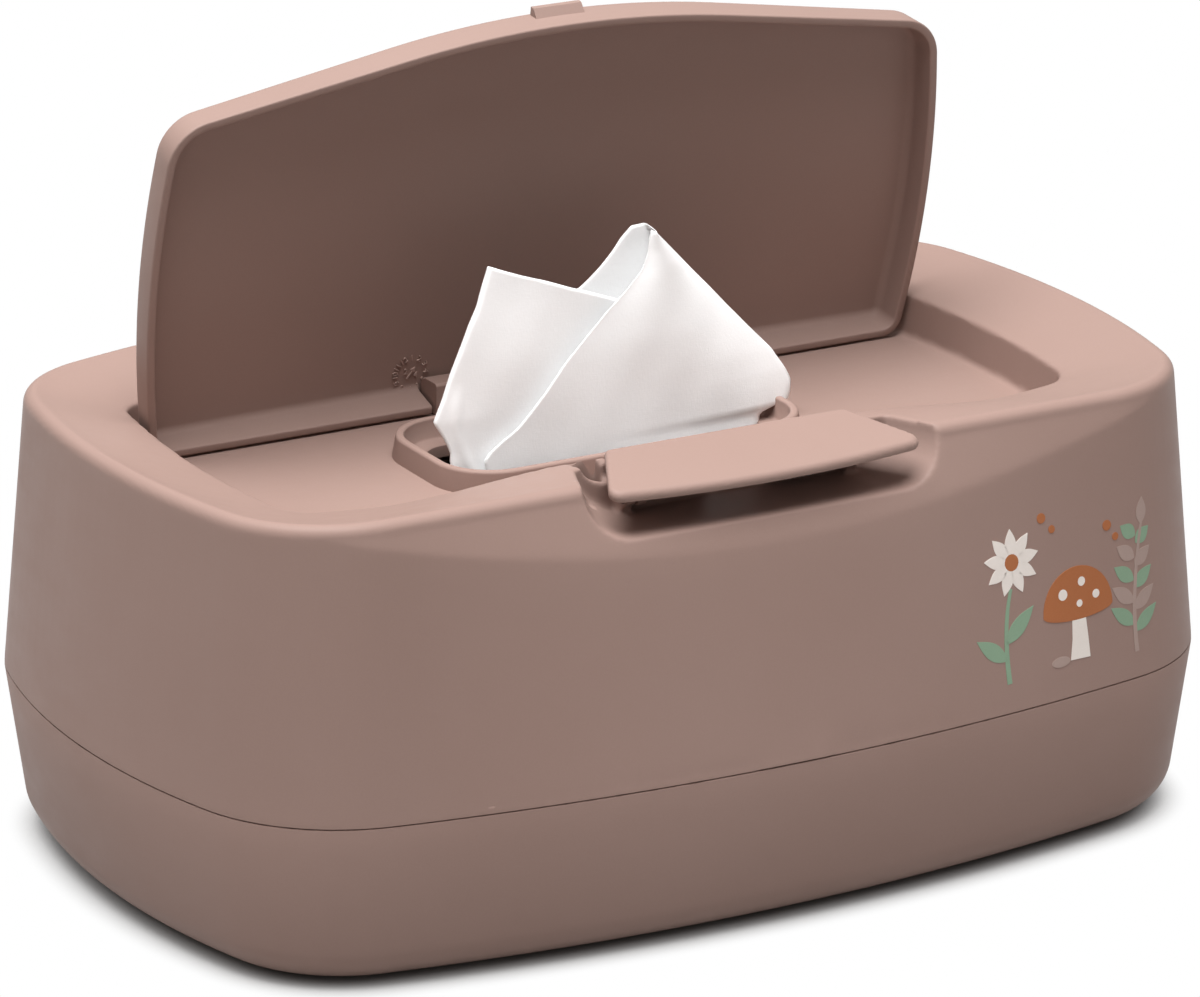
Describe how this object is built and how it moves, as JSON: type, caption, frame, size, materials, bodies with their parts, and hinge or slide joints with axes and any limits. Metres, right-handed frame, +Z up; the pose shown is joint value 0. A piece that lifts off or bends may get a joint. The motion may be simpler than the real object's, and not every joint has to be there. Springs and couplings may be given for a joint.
{
  "type": "baby wipes box",
  "caption": "Refillable baby wipes box with a tray, a lift-off cover, a sprung flip-up lid over a wipe slot and a lever button that releases it.",
  "frame": {"origin": "middle of the box's footprint, on the surface that its feet stand on", "axes": "+Z up, +X along the box's long side to the right as seen from the front, and the front with the lever button faces -Y"},
  "size_m": [0.2526, 0.172, 0.1764],
  "materials": {
    "tray_plastic": "fine satin grain, warm pinkish brown",
    "shell_plastic": "fine satin grain, warm pinkish brown",
    "lid_plastic": "satin outside, smooth inside, warm pinkish brown",
    "button_plastic": "satin, a little lighter than the cover",
    "bracket_plastic": "satin moulded plastic",
    "foot_rubber": "dull soft rubber",
    "spring_steel": "bright drawn wire",
    "pin_steel": "smooth ground steel",
    "screw_steel": "zinc-plated steel",
    "wipe_cloth": "damp white non-woven cloth, softly creased",
    "stack_cloth": "stacked white non-woven cloth"
  },
  "bodies": {
    "tray": {"lower_tray": "tray_plastic", "foot_front_left": "foot_rubber", "foot_front_right": "foot_rubber", "foot_back_left": "foot_rubber", "foot_back_right": "foot_rubber", "wipes_stack": "stack_cloth"},
    "cover": {"upper_shell": "shell_plastic", "hinge_bracket": "bracket_plastic", "bracket_screw_left": "screw_steel", "bracket_screw_right": "screw_steel", "hinge_pin": "pin_steel", "lid_spring": "spring_steel", "popup_wipe": "wipe_cloth", "button_pin": "pin_steel", "button_spring": "spring_steel"},
    "lid": {"lid_panel": "lid_plastic"},
    "button": {"latch_button": "button_plastic"}
  },
  "joints": [
    {"name": "cover_lift", "type": "slide", "parent": "tray", "child": "cover", "axis": [0, 0, 1], "range_m": [0, 0.06]},
    {"name": "lid_hinge", "type": "hinge", "parent": "cover", "child": "lid", "pos_m": [0, 0.0322, 0.0904], "axis": [1, 0, 0], "range_deg": [0, 78], "stiffness_Nm_per_rad": 0.05, "springref_deg": -28.65, "deforming": ["popup_wipe", "lid_spring"]},
    {"name": "button_press", "type": "hinge", "parent": "cover", "child": "button", "pos_m": [0, -0.061, 0.0934], "axis": [1, 0, 0], "range_deg": [0, 8], "stiffness_Nm_per_rad": 0.1, "springref_deg": -11.46, "deforming": ["button_spring"]}
  ]
}
